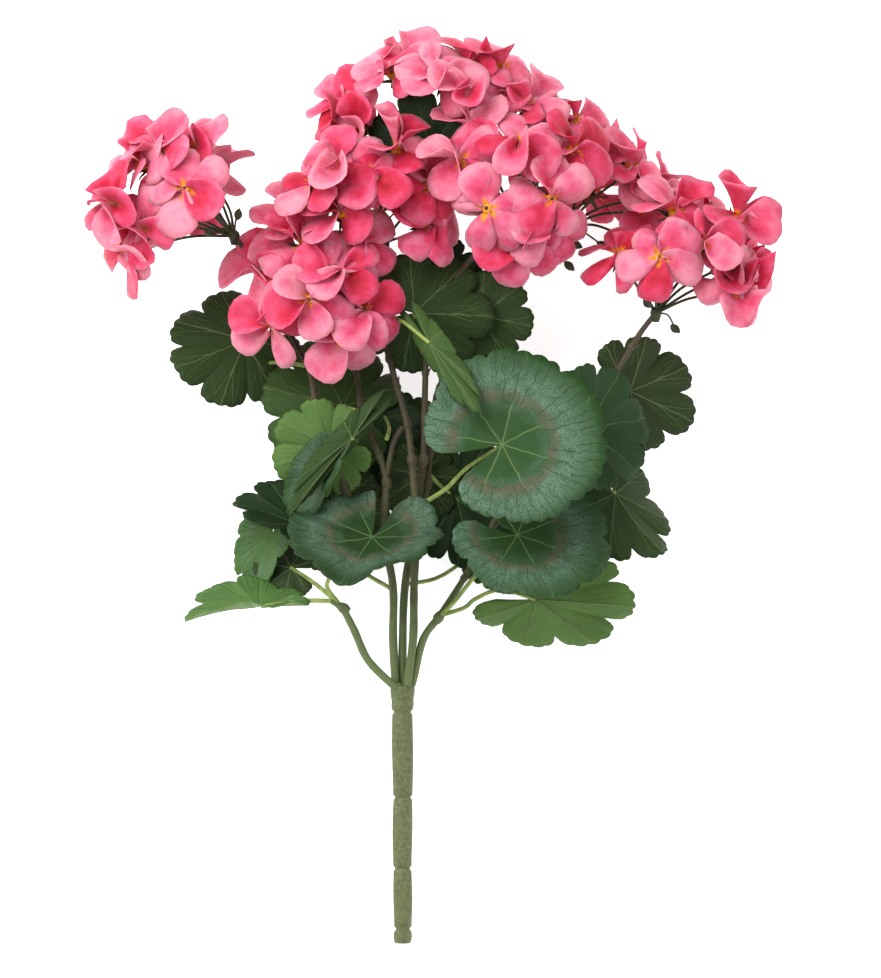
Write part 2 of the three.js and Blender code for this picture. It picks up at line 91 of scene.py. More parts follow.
# Stems, as places measured from the fork at the top of the handle: a thick lower run, a thin
# upper run, and a knob where they meet. root is the angle of the stem's socket in the collar.
STEMS = [
    ("stem_left_shoot", 126, [(-4, 0, 3.5), (-15, 11, 5), (-21, 24, 6), (-26, 34, 7)],
     [(-26, 34, 7), (-31, 37, 7)], []),
    ("stem_of_head_7", 342, [(4.6, 2, -1), (9, 20, 0), (16, 30, 2)],
     [(16, 30, 2), (27, 47, 2), (38, 67, 0), (51, 90, -4), (69, 112, -6), (91, 134, -4),
      (104, 154, -2), (111, 163, 0)], []),
    ("stem_of_head_3", 198, [(-4.2, 20, -2), (-4.2, 43, -3), (-8, 66, -4), (-7, 89, -5)],
     [(-7, 89, -5), (-10, 100, -6), (-18, 120, -8), (-20, 134, -10), (-25, 151, -16),
      (-30, 166, -25)], [(-7, 92, -5), (-4, 106, -4), (0, 113, -2)]),
    ("stem_of_head_2", 54, [(4.6, 20, 2), (5, 43, 1), (6, 71, 0), (4, 99, 0)],
     [(4, 99, 0), (2, 114, -1), (-2, 129, -3), (-9, 155, -8), (-13, 173, -12),
      (-15, 187, -12)], []),
    ("stem_of_head_4", 270, [(0, 20, -4), (1, 43, -5), (5, 68, -6), (9, 99, -7)],
     [(9, 99, -7), (10, 137, -8), (11, 177, -10), (9, 185, -12), (11, 212, -18),
      (14, 234, -20)], []),
    ("stem_of_head_1", None, [(-9, 58, -4), (-18, 70, -3), (-25, 85, -2), (-29, 102, 0)],
     [(-29, 102, 0), (-32, 112, 0), (-38, 124, -2), (-41, 138, -6), (-49, 153, -12),
      (-62, 177, -10), (-69, 190, -7), (-74, 197, -5)], []),
    ("stem_of_head_6", None, [(5, 58, -7), (9, 79, -11), (11, 89, -12)],
     [(11, 89, -12), (12, 101, -13), (16, 131, -16), (30, 145, -19), (41, 180, -25),
      (58, 193, -28), (72, 202, -30)], []),
    ("stem_of_head_5", None, [],
     [(11, 148, -8), (19, 173, -8), (34, 191, -10), (49, 206, -12)], []),
]

# Flower heads: the hub where the stalks meet, the florets and the buds. A floret is its place
# from the hub, the turn of its first petal in degrees, how far it has opened from 0 to 1, and
# the dye of its five petals from 0, blush, to 9, crimson.
HEADS = [
    ((-74, 197, -5), [
        ((-19, 18, 34), 105, 0.95, "40061"),
        ((-44, -7, 14), -90, 0.75, "72478"),
        ((-48, 12, 20), 60, 0.6, "75736"),
        ((-38, 30, 10), 20, 0.5, "35274"),
        ((-15, 36, 12), 10, 0.45, "35267"),
        ((-8, 26, -8), 30, 0.6, "13251"),
        ((-34, 14, -22), 50, 0.7, "46536"),
        ((-16, 20, -32), 15, 0.7, "52463"),
        ((-30, 34, 19), 40, 0.6, "46325"),
        ((-36, 2, 21), 70, 0.6, "35274"),
    ], [(2, 9, 6), (-10, 1, 8)]),
    ((-15, 187, -12), [
        ((-22, 31, 26), 80, 0.55, "27163"),
        ((-11, 38, 30), 30, 0.6, "26518"),
        ((12, 45, 24), 60, 0.55, "83782"),
        ((2, 34, 34), 100, 0.7, "58693"),
        ((25, 30, 24), 40, 0.7, "74867"),
        ((24, 13, 16), -60, 0.55, "63784"),
        ((-14, 30, -14), 0, 0.7, "46352"),
        ((12, 34, -18), 30, 0.7, "35624"),
        ((-11, 18, 28), 20, 0.65, "45637"),
    ], [(13, 22, 5)]),
    ((-30, 166, -25), [
        ((-13, 25, 36), 60, 0.7, "57264"),
        ((10, 27, 34), 110, 0.65, "13452"),
        ((4, 14, 42), 20, 0.45, "51628"),
        ((13, -2, 38), 95, 0.6, "46257"),
        ((4, -13, 38), 160, 0.85, "12041"),
        ((-26, -8, 32), 75, 0.65, "36118"),
        ((-30, 15, 22), 45, 0.65, "25417"),
        ((-10, 2, 44), 130, 0.65, "17246"),
        ((-6, 10, -28), 0, 0.7, "45362"),
        ((-16, 38, 22), 50, 0.6, "53462"),
    ], [(22, 26, 12), (22, -7, 8)]),
    ((14, 234, -20), [
        ((4, 30, 24), 80, 0.85, "22431"),
        ((-18, 33, 12), 30, 0.55, "35146"),
        ((-36, 20, 4), 0, 0.5, "27358"),
        ((-12, 38, 4), 40, 0.55, "24153"),
        ((28, 36, 6), 20, 0.6, "31542"),
        ((15, 36, 6), 50, 0.55, "87578"),
        ((14, 24, 24), 100, 0.6, "42613"),
        ((36, 26, 8), 10, 0.6, "35264"),
        ((-32, 10, 12), -30, 0.5, "58376"),
    ], [(-4, 10, -12)]),
    ((49, 206, -12), [
        ((-12, 1, 42), 92, 0.95, "30231"),
        ((15, 5, 40), 25, 0.75, "15262"),
        ((2, 28, 36), 100, 0.6, "18352"),
        ((-18, 36, 20), 75, 0.6, "13561"),
        ((7, 46, 12), 50, 0.6, "35472"),
        ((26, 40, 6), 20, 0.6, "46537"),
        ((24, 26, 26), 120, 0.6, "84758"),
        ((14, -8, 34), -60, 0.6, "53641"),
        ((2, -13, 26), -100, 0.6, "45637"),
        ((10, 24, -26), 0, 0.7, "43625"),
        ((-22, 22, 30), 15, 0.6, "24135"),
    ], [(27, -13, 10), (24, -22, 6)]),
    ((72, 202, -30), [
        ((27, 24, 16), 60, 0.65, "54627"),
        ((32, 8, 12), 20, 0.6, "52746"),
        ((13, 32, 8), 80, 0.6, "76854"),
        ((38, 16, -6), 0, 0.6, "46375"),
        ((12, 16, -24), 30, 0.7, "53647"),
        ((30, -2, -14), -20, 0.6, "64753"),
    ], [(16, -8, 8)]),
    ((111, 163, 0), [
        ((0, 22, 34), 50, 0.92, "32161"),
        ((18, 28, 26), 70, 0.6, "53426"),
        ((33, 9, 20), 30, 0.8, "11231"),
        ((34, 40, 8), 60, 0.6, "86745"),
        ((7, 42, 12), 40, 0.6, "64536"),
        ((30, 22, 2), 100, 0.6, "24638"),
        ((16, 45, -4), 20, 0.6, "53647"),
        ((29, 16, 12), 0, 0.55, "87668"),
        ((-16, 24, 10), 150, 0.7, "78687"),
        ((16, 26, -26), 30, 0.7, "45362"),
    ], [(8, -7, 6), (-4, 4, 5)]),
]

# Leaves: the top of the stalk, the share of the largest leaf, the way the upper side looks, the
# midrib's angle across the front of the bunch, how narrow a folded blade stands, and the stalk.
# Then how the blade is moulded, in degrees: the rise of its two halves, the droop of its tip and
# its twist; the depth of its waves; and its finish, how strongly its zones are printed and how
# dark it is made. That darkness is partly its dye, browner in some leaves, and partly painted
# shade for leaves that lie in shadow within the bunch.
# The hidden leaves at the back are plain, and their dark share is partly painted shade.
HIDDEN = (6, 8, 0, 1.0, 1, 0.6)
LEAVES = [
    ((-70, 152, -26), 0.84, (-0.2, -0.3, -0.93), 205, 0.85, [(-62, 174, -12), (-65, 162, -20)],
     (8, 20, 0, 1.0, 0, 0.7)),
    ((-71, 140, -36), 0.45, (0.9, -0.2, 0.4), 245, 0.5, [(-42, 140, -9), (-56, 142, -26)],
     (10, 20, 0, 0.6, 0.3, 0.2)),
    ((-26, 122, -17), 0.85, (0, -0.3, -0.95), 165, 1, [(-18, 119, -9), (-22, 121, -13)],
     (6, 12, 0, 1.6, 0, 0.5)),
    ((-32, 104, 5), 0.6, (0.1, 0.2, -0.97), 200, 1, [(-29, 103, 1), (-31, 104, 4)],
     (4, 10, 0, 1.2, 0, 0.2)),
    ((-34, 94, 12), 0.62, (-0.55, 0.3, 0.78), 238, 0.6, [(-28, 98, 1), (-31, 96, 8)],
     (18, 20, 0, 0.8, 0.5, 0.45)),
    ((-22, 108, 15), 1.06, (-0.5, 0.1, -0.7), 229, 0.17, [(-29, 100, 1), (-26, 104, 8)],
     (12, 14, 8, 0.8, 0, 0.6)),
    ((-45, 70, -4), 0.72, (0.3, 0.72, 0.62), 158, 0.75, [(-19, 71, -3), (-32, 70, -4)],
     (14, 18, 0, 0.8, 0, 0.95)),
    ((-58, 66, -14), 0.66, (-0.5, 0.2, 0.84), 243, 0.55, [(-20, 74, -4), (-40, 72, -13)],
     (12, 25, 0, 1.0, 0.35, 0.1)),
    ((-13, 65, 27), 0.9, (-0.05, 0.8, 0.6), 238, 1, [(-28, 36, 7), (-33, 44, 10), (-27, 52, 18)],
     (8, -16, 0, 3.6, 0.8, 0.75)),
    ((-62, 35, 6), 0.78, (0, 0.95, 0.3), 184, 0.6, [(-31, 37, 7), (-45, 37, 6)],
     (14, 18, 0, 1.6, 0, 0.05)),
    ((-49, 51, -10), 0.42, (0.2, -0.5, -0.8), 170, 1, [(-27, 35, 6), (-38, 44, -3)],
     (10, 10, 0, 0.8, 0, 0.8)),
    ((43, 105, 36), 1.07, (0.05, 0.35, 0.94), 27, 1, [(8, 79, -7), (19, 86, 10), (28, 95, 26)],
     (0, 6, 0, 1.6, 1, 0.45)),
    ((50, 66, 20), 0.95, (0.1, 0.62, 0.78), -20, 1,
     [(17, 31, 3), (22, 36, 6), (30, 46, 10), (41, 60, 15)],
     (4, 12, 0, 1.8, 0.9, 0.5)),
    ((58, 38, 12), 1.0, (0, 0.35, -0.93), -4, 0.68,
     [(18, 31, 3), (27, 34, 5), (32, 38, 7), (43, 42, 10)],
     (10, 8, 0, 1.6, 0, 0.2)),
    ((80, 112, 12), 0.75, (0.45, 0.1, 0.88), 10, 1, [(60, 101, -5), (68, 106, 3)],
     (8, 22, 0, 1.4, 0, 0.7)),
    ((100, 129, -12), 0.76, (-0.3, 0.2, -0.93), 335, 0.9, [(90, 133, -4), (93, 131, -9)],
     (8, 10, 0, 1.2, 0, 0.9)),
    ((93, 84, -2), 0.8, (-0.4, -0.3, -0.87), 302, 0.75, [(55, 95, -5), (72, 96, -6), (86, 88, -4)],
     (12, 28, 0, 1.6, 0, 0.65)),
    ((5, 163, -1), 0.82, (-0.2, 0.1, -0.96), -2, 0.9, [(10, 152, -8), (6, 158, -5)],
     (12, 10, 0, 1.2, 0, 0.78)),
    ((34, 162, -13), 0.55, (0, 0.1, -1), -10, 1, [(30, 147, -19), (33, 155, -16)],
     (4, 12, 0, 1.0, 0, 0.7)),
    ((12, 149, 24), 0.98, (0.4, -0.25, -0.7), 305, 0.2, [(-9, 156, -8), (-2, 160, 8)],
     (14, 6, 10, 0.8, 0, 0.45)),
    ((12, 234, -6), 0.66, (-0.1, 0, 0.99), 150, 1, [(13, 226, -19), (12, 231, -12)],
     (6, 10, 0, 1.2, 0, 0.9)),
    ((-24, 84, -20), 0.7, (0.4, 0.3, -0.85), 298, 0.5, [(-26, 88, -2), (-25, 87, -12)],
     (14, 15, 0, 0.8, 0, 0.92)),
    ((8, 92, -18), 0.5, (-0.1, 0, -0.99), 262, 1, [(9, 96, -8), (8, 95, -13)],
     (8, 10, 0, 1.0, 0, 0.85)),
    ((24, 81, -25), 0.75, (0, 0.1, 0.99), -30, 1, [(12, 92, -13), (17, 87, -20)],
     (4, 10, 0, 1.0, 0, 0.95)),
    ((-8, 118, -24), 0.42, (0, 0, 1), 270, 1, [(-7, 108, -5), (-6, 113, -15)],
     (6, 10, 0, 0.8, 0, 0.9)),
    ((14, 178, -20), 0.5, (0, 0, 1), 20, 1, [(11, 172, -11), (12, 175, -15)],
     (6, 10, 0, 0.8, 0, 0.9)),
    ((-30, 72, -26), 0.62, (-0.15, -0.2, -0.97), 170, 1, [(-5, 42, -4), (-20, 52, -17)],
     HIDDEN),
    ((42, 66, -25), 0.72, (0.15, -0.2, -0.97), 10, 1, [(2, 44, -6), (18, 48, -20)],
     HIDDEN),
    ((-2, 100, -31), 0.7, (0, -0.2, -0.98), 100, 1, [(6, 70, -7), (2, 86, -22)],
     HIDDEN),
    ((64, 104, -33), 0.66, (0.1, -0.1, -0.98), -30, 1, [(53, 93, -5), (59, 99, -20)],
     HIDDEN),
    ((-28, 116, -44), 0.56, (-0.1, -0.1, -0.98), 110, 1, [(-34, 118, -1), (-32, 117, -20)],
     HIDDEN),
    ((24, 156, -37), 0.6, (0, -0.1, -1), 60, 1, [(18, 134, -17), (20, 146, -28)],
     HIDDEN),
]


def from_fork(place):
    """A place measured from the fork, as a place measured from the cut end of the handle."""
    return Vector(place) + Vector((0, HANDLE_LENGTH, 0))


def mix(a, b, share):
    return a + (b - a) * share


# ---- finishes

def colour(hex_code):
    """An sRGB hex colour as the linear colour that a shader takes."""
    parts = [int(hex_code[i:i + 2], 16) / 255 for i in (1, 3, 5)]
    linear = [c / 12.92 if c <= 0.04045 else ((c + 0.055) / 1.055) ** 2.4 for c in parts]
    return (*linear, 1)


def add(tree, kind, settings=(), inputs=()):
    """Adds a node with its settings, and sets its inputs to values or links them to sockets."""
    node = tree.nodes.new("ShaderNode" + kind)
    for name, value in dict(settings).items():
        setattr(node, name, value)
    for key, value in dict(inputs).items():
        if isinstance(value, bpy.types.NodeSocket):
            tree.links.new(value, node.inputs[key])
        else:
            node.inputs[key].default_value = value
    return node


def ramp(tree, factor, stops):
    """The colours of a ramp, given as (place, hex colour) or (place, brightness)."""
    node = add(tree, "ValToRGB", {}, {"Fac": factor})
    elements = node.color_ramp.elements
    while len(elements) < len(stops):
        elements.new(1)
    for element, (place, shade) in zip(elements, stops):
        element.position = place
        element.color = colour(shade) if isinstance(shade, str) else (shade, shade, shade, 1)
    return node.outputs["Color"]


def new_finish(name):
    """An empty material, its node tree and its output."""
    material = bpy.data.materials.new(name)
    material.use_nodes = True
    tree = material.node_tree
    tree.nodes.clear()
    return material, tree, add(tree, "OutputMaterial")


def calc(tree, operation, a, b=0.0):
    """The result of one sum on sockets or numbers."""
    return add(tree, "Math", {"operation": operation}, {0: a, 1: b}).outputs[0]


def times(tree, a, b):
    return calc(tree, "MULTIPLY", a, b)


def plus(tree, a, b):
    return calc(tree, "ADD", a, b)


def minus(tree, a, b):
    return calc(tree, "SUBTRACT", a, b)


def either_side(tree, value, reach):
    """A value from 0 to 1, as reach on either side of nothing."""
    return times(tree, minus(tree, value, 0.5), reach)


def blend(tree, share, a, b, way="MIX"):
    """Two colours mixed in a share."""
    node = add(tree, "Mix", {"data_type": "RGBA", "blend_type": way},
               {"Factor": share, 6: a, 7: b})
    return node.outputs[2]


def grain(tree, size, detail=3.0, roughness=0.5):
    """Noise whose lumps are size millimetres across, fixed to the piece."""
    place = add(tree, "TexCoord").outputs["Object"]
    node = add(tree, "TexNoise", {}, {
        "Vector": place, "Scale": 1 / (size * MM), "Detail": detail, "Roughness": roughness})
    return node.outputs["Fac"]


def carried(tree, name):
    """A number that the piece carries for each of its sheets."""
    return add(tree, "Attribute", {"attribute_name": name}).outputs["Fac"]


def on_map(tree, name):
    """The place on a sheet's own map, across and along."""
    spot = add(tree, "SeparateXYZ", {}, {0: add(tree, "UVMap", {"uv_map": name}).outputs[0]})
    return spot.outputs["X"], spot.outputs["Y"]


def surface_of(tree, out, inputs, relief=None, strength=0.5, depth=0.25):
    """Ends a finish: its shader, and its relief, whose depth is in millimetres."""
    shader = add(tree, "BsdfPrincipled", {}, inputs)
    if relief is not None:
        bump = add(tree, "Bump", {}, {
            "Strength": strength, "Distance": depth * MM, "Height": relief})
        tree.links.new(bump.outputs[0], shader.inputs["Normal"])
    tree.links.new(shader.outputs[0], out.inputs["Surface"])


def along_line(tree, angle, spacing, radius, width):
    """A soft line at each multiple of spacing round the blade, where width is its half width.

    radius and width are shares of the blade's reach, and the line is 1 at its middle.
    """
    turn = plus(tree, calc(tree, "DIVIDE", angle, spacing), 0.5)
    part = minus(tree, calc(tree, "FRACT", turn), 0.5)
    off = calc(tree, "ABSOLUTE", times(tree, part, spacing))
    gap = times(tree, calc(tree, "SINE", off), radius)
    return minus(tree, 1.0, calc(tree, "DIVIDE", gap, width))


def petal_fabric():
    """Petals of dyed polyester satin, die-cut and heat-moulded.

    The dye is darker down the middle and in some petals, pales to the cut edge and runs from a
    painted orange eye in fine streaks, and light soaks a little way into the thin cloth.
    """
    material, tree, out = new_finish("dyed_polyester_petal")
    across, along = on_map(tree, "petal")
    off_middle = calc(tree, "ABSOLUTE", minus(tree, across, 0.5))
    edge = calc(tree, "MAXIMUM", times(tree, off_middle, 2.0), along)
    pale = ramp(tree, edge, [(0.0, 0.0), (0.5, 0.05), (0.84, 0.18), (1.0, 0.34)])
    cloudy = either_side(tree, grain(tree, 8), 0.9)
    depth = plus(tree, minus(tree, carried(tree, "dye"), pale), cloudy)
    base = ramp(tree, depth, [
        (0.0, "#d98799"), (0.16, "#d06b86"), (0.34, "#c9476a"), (0.55, "#bb2647"),
        (0.78, "#a31126"), (1.0, "#740811")])
    # Streaks along the petal, which run together towards its claw
    stripe_at = add(tree, "CombineXYZ", {}, {
        "X": times(tree, across, 26.0), "Y": times(tree, along, 1.6)})
    streak = add(tree, "TexNoise", {}, {
        "Vector": stripe_at.outputs[0], "Scale": 1.0, "Detail": 2.0}).outputs["Fac"]
    base = blend(tree, times(tree, streak, 0.22), base, colour("#d83a63"), "MULTIPLY")
    reach = plus(tree, along, either_side(tree, streak, 0.22))
    eye = ramp(tree, reach, [(0.0, 1.0), (0.17, 1.0), (0.3, 0.0)])
    base = blend(tree, eye, base, colour("#e38f14"))
    # Soft creases from the press, with the weave's threads over them, drawn coarse enough to show
    creases = plus(tree, grain(tree, 3.5, 2.0), times(tree, grain(tree, 0.5), 0.08))
    surface_of(tree, out, {
        "Base Color": base, "Roughness": 0.62, "Specular IOR Level": 0.2,
        "Subsurface Weight": 0.25, "Subsurface Radius": (1.0, 0.35, 0.4),
        "Subsurface Scale": 1.6 * MM, "Sheen Weight": 0.1, "Sheen Roughness": 0.4},
        creases, strength=0.6, depth=0.8)
    return material


def blade_spot(tree):
    """The place on a leaf from its stalk, as a share of its reach and an angle, made uneven."""
    x, y = [minus(tree, times(tree, way, 2.0), 1.0) for way in on_map(tree, "blade")]
    radius = calc(tree, "SQRT", plus(tree, times(tree, x, x), times(tree, y, y)))
    uneven = either_side(tree, grain(tree, 6), 0.16)
    return radius, plus(tree, calc(tree, "ARCTAN2", y, x), uneven)


def vein_lines(tree, radius, angle, width):
    """Seven veins from the stalk, which fork half way out and again near the margin."""
    levels = []
    for splits, breadth in ((1, 1), (2, 0.7), (4, 0.55)):
        start = angle if splits == 1 else plus(tree, angle, VEIN_SPACING / (2 * splits))
        line = along_line(tree, start, VEIN_SPACING / splits, radius, width * breadth)
        levels.append(calc(tree, "MAXIMUM", line, 0.0))
    main, forks, twigs = levels
    far = ramp(tree, radius, [(0.34, 0.0), (0.46, 1.0)])
    farther = ramp(tree, radius, [(0.6, 0.0), (0.72, 1.0)])
    return main, calc(tree, "MAXIMUM", times(tree, forks, far), times(tree, twigs, farther))


def leaf_upper():
    """The printed upper side of a polyester leaf, stiffened and slightly waxy.

    A green middle with pale veins, a rusty ring, a silvery stippled zone crossed by dark veins,
    and a plain green margin.
    """
    material, tree, out = new_finish("printed_polyester_leaf_upper")
    radius, angle = blade_spot(tree)
    main, forks = vein_lines(tree, radius, angle, 0.011)
    zones = carried(tree, "zones")
    blot = grain(tree, 5, 4.0)
    stipple = grain(tree, 0.45, 3.0, 0.6)
    wander = plus(tree, radius, either_side(tree, blot, 0.16))
    # The leaf's dark share deepens its green: partly the browner dye of some leaves, partly
    # painted shade on leaves lying in shadow within the bunch.
    base = ramp(tree, carried(tree, "dark"), [
        (0.0, "#597b40"), (0.4, "#2b4822"), (1.0, "#12220d")])
    base = blend(tree, times(tree, blot, 0.5), base, colour("#1f3a1b"))
    base = blend(tree, times(tree, main, 0.6), base, colour("#6c8a4e"))
    silver = ramp(tree, wander, [
        (0.3, 0.0), (0.42, 0.4), (0.5, 0.95), (0.68, 0.9), (0.8, 0.35), (0.92, 0.0)])
    silver = times(tree, silver, zones)
    base = blend(tree, times(tree, silver, 0.55), base, colour("#37543e"))
    specks = ramp(tree, plus(tree, stipple, times(tree, blot, 0.35)), [(0.58, 0.0), (0.84, 0.75)])
    base = blend(tree, times(tree, silver, specks), base, colour("#728d7b"))
    ring = ramp(tree, wander, [(0.4, 0.0), (0.45, 1.0), (0.49, 1.0), (0.57, 0.0)])
    flecks = ramp(tree, plus(tree, stipple, times(tree, blot, 0.5)), [(0.64, 0.0), (0.88, 0.7)])
    rust = times(tree, times(tree, ring, zones), flecks)
    base = blend(tree, rust, base, colour("#5c3b29"))
    veins = calc(tree, "MAXIMUM", main, forks)
    line = times(tree, veins, ramp(tree, radius, [(0.4, 0.0), (0.5, 0.75)]))
    base = blend(tree, line, base, colour("#1f3f20"))
    relief = minus(tree, times(tree, stipple, 0.25), veins)
    surface_of(tree, out, {"Base Color": base, "Roughness": 0.5, "Specular IOR Level": 0.15},
               relief, strength=0.6, depth=0.35)
    return material


def leaf_under():
    """The plain underside of the leaf fabric: softer, greyer green, with raised pale veins."""
    material, tree, out = new_finish("polyester_leaf_underside")
    radius, angle = blade_spot(tree)
    main, forks = vein_lines(tree, radius, angle, 0.010)
    # The leaf's dark share deepens the underside's green: partly the browner dye of some leaves,
    # partly painted shade on leaves lying in shadow within the bunch.
    base = ramp(tree, carried(tree, "dark"), [
        (0.0, "#678a42"), (0.3, "#415f28"), (0.6, "#213612"), (0.85, "#1a2309"),
        (1.0, "#1f1e09")])
    base = blend(tree, times(tree, grain(tree, 11, 4.0), 0.5), base, colour("#1f3515"))
    base = blend(tree, times(tree, grain(tree, 1.2, 4.0), 0.1), base, colour("#7c9a62"))
    base = blend(tree, times(tree, main, 0.45), base, colour("#7d9552"))
    base = blend(tree, times(tree, forks, 0.2), base, colour("#6f9050"))
    relief = plus(tree, times(tree, grain(tree, 0.7), 0.3), calc(tree, "MAXIMUM", main, forks))
    surface_of(tree, out, {"Base Color": base, "Roughness": 0.58, "Specular IOR Level": 0.15},
               relief, strength=0.6, depth=0.35)
    return material


# How far above the fork the stems turn from green to brown
GREEN_RUN = (10, 110)


def pitted(tree, out, shade, fleck, share):
    """Ends a moulded finish: matt, with paler flecks where the surface is pitted."""
    pits = grain(tree, 0.8, 4.0, 0.65)
    shade = blend(tree, ramp(tree, pits, [(0.58, 0.0), (0.7, share)]), shade, colour(fleck))
    surface_of(tree, out, {"Base Color": shade, "Roughness": 0.6, "Specular IOR Level": 0.35},
               pits)


def moulded_plastic(name, light, dark, fleck, lump=4.0):
    """Soft polyethylene, moulded over wire: matt, mottled where the dye pooled, and pitted."""
    material, tree, out = new_finish(name)
    mottle = ramp(tree, grain(tree, lump, 4.0), [(0.36, 0.0), (0.64, 1.0)])
    pitted(tree, out, blend(tree, mottle, colour(dark), colour(light)), fleck, 0.5)
    return material


def stem_plastic():
    """Polyethylene over wire: green where the stems leave the handle, and dark brown above."""
    material, tree, out = new_finish("green_to_brown_polyethylene")
    spot = add(tree, "SeparateXYZ", {}, {0: add(tree, "TexCoord").outputs["Object"]})
    low, high = [(LAID @ Vector((0, HANDLE_LENGTH + y, 0))).y for y in GREEN_RUN]
    height = add(tree, "MapRange", {}, {
        "Value": spot.outputs["Y"], "From Min": low, "From Max": high}).outputs[0]
    height = plus(tree, height, minus(tree, grain(tree, 6), 0.5))
    shade = ramp(tree, height, [(0.1, "#5f6c42"), (0.6, "#474a2c"), (1.0, "#3f3524")])
    pitted(tree, out, shade, "#78744a", 0.45)
    return material


def plain_plastic(name, shade, roughness):
    """Small moulded pieces of one dyed polyethylene, with a faint mottle."""
    material, tree, out = new_finish(name)
    base = blend(tree, times(tree, grain(tree, 1.5), 0.4), colour(shade), colour("#2a1c0a"))
    surface_of(tree, out, {"Base Color": base, "Roughness": roughness})
    return material


PETAL_FABRIC = petal_fabric()
LEAF_UPPER = leaf_upper()
LEAF_UNDER = leaf_under()
HANDLE_PLASTIC = moulded_plastic(
    "mottled_green_polyethylene", "#636b43", "#505738", "#7c8259", lump=1.6)
STEM_PLASTIC = stem_plastic()
TWIG_PLASTIC = moulded_plastic("dark_green_polyethylene", "#3f4a2a", "#272b18", "#55603a")
PETIOLE_PLASTIC = moulded_plastic("yellow_green_polyethylene", "#93a257", "#6f8440", "#a9b46c")
VEIN_FABRIC = plain_plastic("stiffened_green_polyester_rib", "#4d6231", 0.6)
EYE_PLASTIC = plain_plastic("ochre_polyethylene", "#e2940f", 0.5)
# The floor of each eye's pit is painted dark brown as the shade inside the hole.
PAINTED_PIT_SHADE = plain_plastic("pit_floor_painted_shade", "#4a1d08", 0.7)
THROAT_PLASTIC = plain_plastic("amber_brown_polyethylene", "#8a5a1a", 0.5)

# ---- making pieces


def finish_piece(piece, name, nodes=()):
    """Names a piece, lays it down in the row frame, hangs it from the root, and hides the parts of
    the model that it stands for.
    """
    piece.name = name
    piece.data.name = name
    piece.data.transform(LAID)
    piece.data.update()
    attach(piece, "root")
    if nodes:
        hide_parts(*nodes)
    piece.select_set(False)
    return piece


def choose(*pieces):
    """Selects the pieces and nothing else, with the first of them active."""
    bpy.ops.object.select_all(action="DESELECT")
    for piece in pieces:
        piece.select_set(True)
    bpy.context.view_layer.objects.active = pieces[0]


def new_object(name, data):
    """An object in the scene."""
    thing = bpy.data.objects.new(name, data)
    bpy.context.collection.objects.link(thing)
    return thing


def joined(pieces):
    """Several pieces as one, with the materials of all."""
    choose(*pieces)
    bpy.ops.object.join()
    return bpy.context.view_layer.objects.active


def smooth_line(places, steps):
    """Points on a smooth line through the places, steps to each span."""
    if len(places) < 3:
        return [places[0].lerp(places[-1], i / steps) for i in range(steps + 1)]
    ends = [2 * places[0] - places[1], *places, 2 * places[-1] - places[-2]]
    points = []
    for a, b, c, d in zip(ends, ends[1:], ends[2:], ends[3:]):
        for i in range(steps):
            t = i / steps
            points.append(0.5 * (2 * b + (c - a) * t + (2 * a - 5 * b + 4 * c - d) * t * t
                                 + (3 * b - a - 3 * c + d) * t ** 3))
    return [*points, places[-1]]


def beads(place, along, profile):
    """A run for a wire with a turned outline: its radius at each step along a line."""
    return [(place + along * step, radius) for step, radius in profile]


def wires(runs, material, sides=2):
    """Round wires along runs of (place, radius), as one mesh with closed ends."""
    curve = bpy.data.curves.new("wires", "CURVE")
    curve.dimensions = "3D"
    curve.bevel_depth = 1
    curve.bevel_resolution = sides
    curve.use_fill_caps = True
    for run in runs:
        line = curve.splines.new("POLY")
        line.points.add(len(run) - 1)
        for point, (place, radius) in zip(line.points, run):
            point.co = (*place, 1)
            point.radius = radius
    choose(new_object("wires", curve))
    bpy.ops.object.convert(target="MESH")
    piece = bpy.context.view_layer.objects.active
    piece.data.materials.clear()
    piece.data.materials.append(material)
    bpy.ops.object.shade_smooth()
    return piece


def grid_of(columns, rows):
    """A flat grid over the unit square, modelled once for every sheet: its places and faces."""
    bpy.ops.mesh.primitive_grid_add(
        x_subdivisions=columns, y_subdivisions=rows, size=1, location=(0.5, 0.5, 0))
    piece = bpy.context.view_layer.objects.active
    places = [(v.co.x + 0.5, v.co.y + 0.5) for v in piece.data.vertices]
    faces = [tuple(f.vertices) for f in piece.data.polygons]
    bpy.data.objects.remove(piece)
    return places, faces


# The least height of a sheet's middle above the table, and the gap that is welded shut
LOWEST = 0.35
SAME_PLACE = 1e-4
UP_IN_BUNCH = TIPPED.transposed() @ Vector((0, 0, 1))


def lifted(place):
    """The place, raised on to the table if it would hang below it."""
    height = (LAID @ place).z / MM
    return place + UP_IN_BUNCH * max(0, LOWEST - height)


